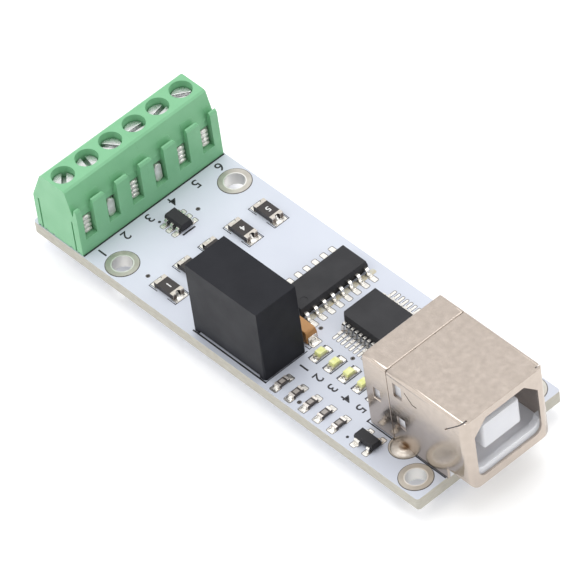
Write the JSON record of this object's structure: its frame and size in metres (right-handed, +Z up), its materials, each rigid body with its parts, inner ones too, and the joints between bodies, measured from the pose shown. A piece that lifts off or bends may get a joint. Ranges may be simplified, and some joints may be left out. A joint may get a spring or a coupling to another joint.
{
  "type": "usb to serial adapter module",
  "caption": "Small isolated serial adapter board with a screw terminal row at one end and a square data socket at the other",
  "frame": {"origin": "centre of the four mounting holes, on the underside of the board", "axes": "+X from the screw terminals to the square socket, +Y across the board to its far long edge, +Z up through the board"},
  "size_m": [0.0661, 0.0212, 0.0144],
  "materials": {
    "board": "white solder mask, satin",
    "plating": "tinned copper",
    "terminal_green": "moulded, satin",
    "screw_steel": "nickel-plated steel",
    "clamp_metal": "tinned sheet metal",
    "shell_nickel": "nickel-plated sheet, satin gloss",
    "insert_white": "moulded, satin",
    "contact_gold": "gold-plated",
    "case_black": "moulded, fine grain",
    "potting_grey": "cast resin",
    "chip_black": "moulded epoxy, matt",
    "lead_tin": "tinned",
    "tantalum_tan": "moulded epoxy",
    "fuse_black": "coated",
    "lens_green": "clear yellow-green epoxy",
    "lamp_base": "moulded",
    "resistor_black": "glazed film on ceramic",
    "solder": "solder",
    "flux_solder": "solder under amber flux"
  },
  "bodies": {
    "root": {"board": "board", "mount_rings": "plating", "terminal_housing_near": "terminal_green", "terminal_housing_far": "terminal_green", "terminal_screws": "screw_steel", "terminal_leaves": "clamp_metal", "terminal_cage_1": "clamp_metal", "terminal_cage_2": "clamp_metal", "terminal_cage_3": "clamp_metal", "terminal_cage_4": "clamp_metal", "terminal_cage_5": "clamp_metal", "terminal_cage_6": "clamp_metal", "socket_shell": "shell_nickel", "socket_rear_cover": "shell_nickel", "socket_insert": "insert_white", "socket_contacts": "contact_gold", "tab_rings": "plating", "tab_solder": "flux_solder", "converter_case": "case_black", "converter_potting": "potting_grey", "converter_pins": "lead_tin", "isolator_body": "chip_black", "isolator_leads": "lead_tin", "bridge_body": "chip_black", "bridge_leads": "lead_tin", "buffer_body": "chip_black", "buffer_leads": "lead_tin", "guard_body": "chip_black", "guard_leads": "lead_tin", "tantalum_body": "tantalum_tan", "tantalum_terminals": "lead_tin", "pin_solder": "solder", "fuse_1": "fuse_black", "fuse_2": "fuse_black", "fuse_3": "fuse_black", "fuse_4": "fuse_black", "fuse_5": "fuse_black", "fuse_caps": "lead_tin", "lamp_1": "lens_green", "lamp_2": "lens_green", "lamp_3": "lens_green", "lamp_4": "lens_green", "lamp_5": "lens_green", "lamp_bases": "lamp_base", "resistor_1": "resistor_black", "resistor_2": "resistor_black", "resistor_3": "resistor_black", "resistor_4": "resistor_black", "resistor_5": "resistor_black", "resistor_caps": "lead_tin"}
  },
  "joints": []
}
